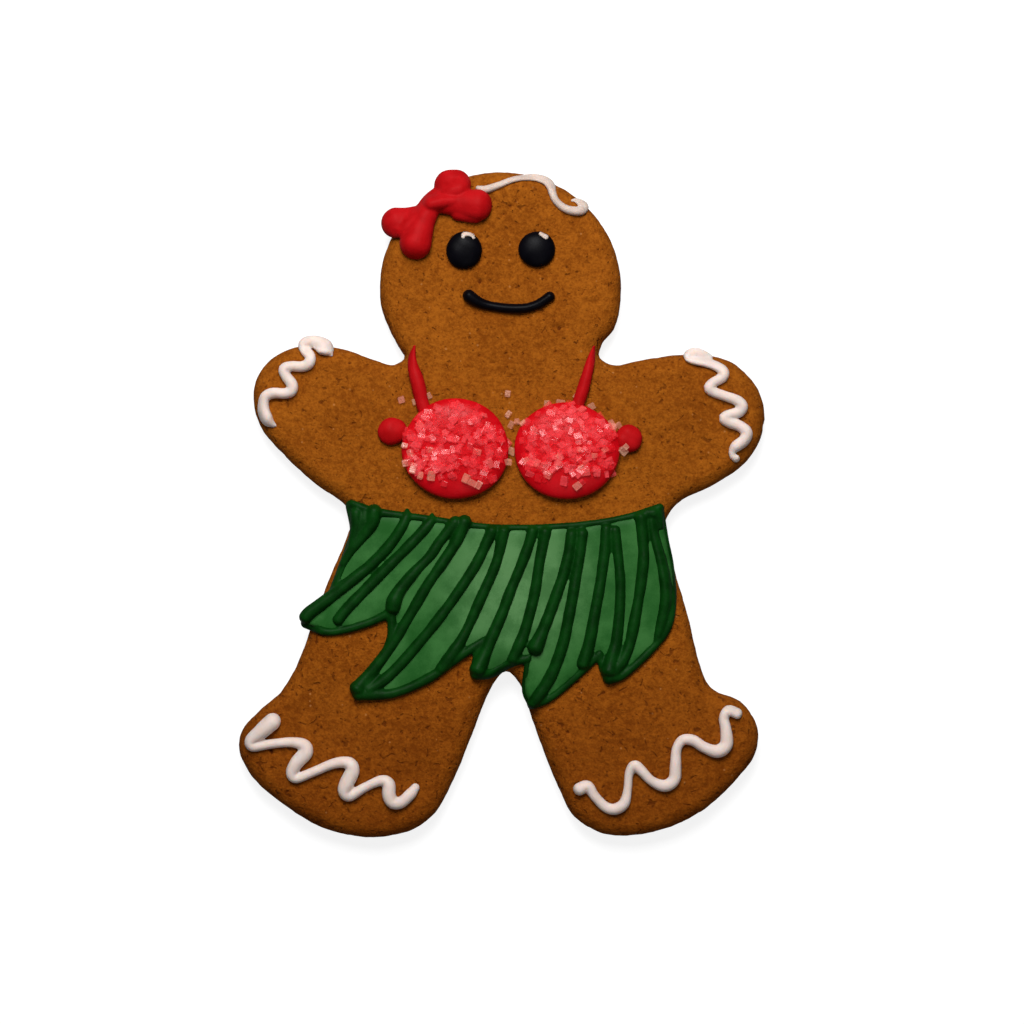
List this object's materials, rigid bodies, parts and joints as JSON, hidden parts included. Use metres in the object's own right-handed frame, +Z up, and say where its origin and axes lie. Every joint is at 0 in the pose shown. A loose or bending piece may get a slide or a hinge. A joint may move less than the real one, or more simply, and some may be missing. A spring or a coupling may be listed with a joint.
{
  "type": "gingerbread man cookie",
  "caption": "Flat gingerbread figure biscuit with piped icing: smiling face, bow, sugared red top and a green leaf skirt.",
  "frame": {"origin": "centre of the flat underside's box, on the surface that the biscuit lies on", "axes": "+Z up out of the iced side, +Y towards the figure's head, +X towards the picture's right"},
  "size_m": [0.1106, 0.1398, 0.0131],
  "materials": {
    "gingerbread": "matte, porous baked crust",
    "white_icing": "satin set royal icing",
    "red_icing": "satin set royal icing",
    "sugared_red_icing": "satin icing under coarse clear sugar",
    "green_icing": "smooth flooded royal icing",
    "dark_green_icing": "satin piped royal icing",
    "black_icing": "satin piped royal icing"
  },
  "bodies": {
    "root": {"bead_left": "red_icing", "bead_right": "red_icing", "bow": "red_icing", "cookie": "gingerbread", "cuff_left": "white_icing", "cuff_right": "white_icing", "cup_left": "sugared_red_icing", "cup_right": "sugared_red_icing", "eye_glint_left": "white_icing", "eye_glint_right": "white_icing", "eye_left": "black_icing", "eye_right": "black_icing", "foot_trim_left": "white_icing", "foot_trim_right": "white_icing", "hair_line": "white_icing", "mouth": "black_icing", "skirt_flood": "green_icing", "skirt_piping": "dark_green_icing", "strap_left": "red_icing", "strap_right": "red_icing"}
  },
  "joints": []
}
